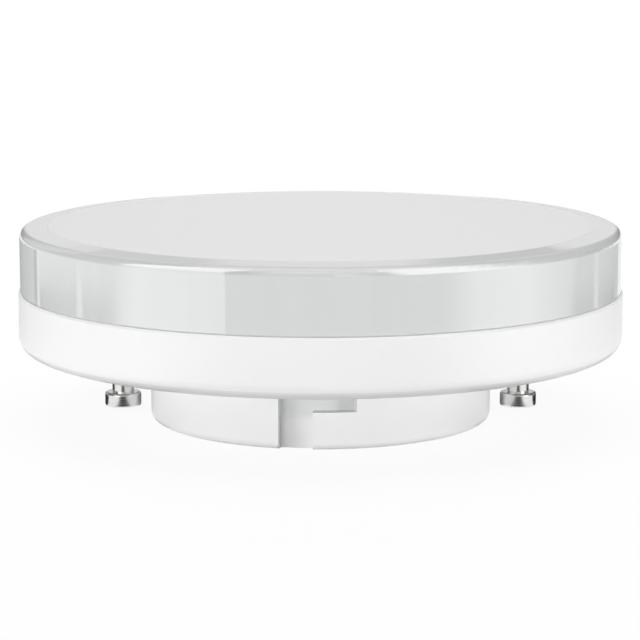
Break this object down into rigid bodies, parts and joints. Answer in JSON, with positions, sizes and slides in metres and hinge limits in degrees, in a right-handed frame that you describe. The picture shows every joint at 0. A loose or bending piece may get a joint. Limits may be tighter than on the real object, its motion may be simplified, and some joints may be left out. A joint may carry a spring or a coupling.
{
  "type": "led disc lamp",
  "caption": "Flat round LED lamp: a white housing with a keyed hub and twist-lock contact pins below, an opal cover above, and the LED board and driver inside.",
  "frame": {"origin": "middle of the hub's flat bottom face, on which the lamp rests", "axes": "+Z towards the light-giving face, X through the two contact pins, a keyway faces -Y"},
  "size_m": [0.08, 0.08, 0.0259],
  "materials": {
    "housing": "satin white moulded plastic",
    "lens_cover": "opal diffusing plastic with a glossy wall",
    "contact_pin": "nickel-plated brass",
    "heat_spreader": "plain aluminium sheet",
    "led_board": "white solder mask on an aluminium core",
    "led_package": "white plastic with a yellow phosphor window",
    "screw": "zinc-plated steel",
    "driver_board": "green board laminate",
    "capacitor_can": "dark shrink sleeve",
    "film_capacitor": "brown-red dipped plastic",
    "ferrite": "dark ferrite",
    "winding": "enamelled copper wire",
    "resistor": "blue-grey coating",
    "chip": "black moulding compound",
    "input_wire": "white insulation",
    "wire_black": "black insulation",
    "wire_red": "red insulation"
  },
  "bodies": {
    "root": {"housing": "housing", "lens_cover": "lens_cover", "contact_pin_left": "contact_pin", "contact_pin_right": "contact_pin", "heat_spreader": "heat_spreader", "led_board": "led_board", "led_packages": "led_package", "board_screws": "screw", "driver_board": "driver_board", "bulk_capacitor": "capacitor_can", "output_capacitor": "capacitor_can", "film_capacitor": "film_capacitor", "inductor_core": "ferrite", "inductor_winding": "winding", "fusible_resistor": "resistor", "driver_chip": "chip", "bridge_rectifier": "chip", "output_diode": "chip", "input_wire_left": "input_wire", "input_wire_right": "input_wire", "output_wire_negative": "wire_black", "output_wire_positive": "wire_red"}
  },
  "joints": []
}
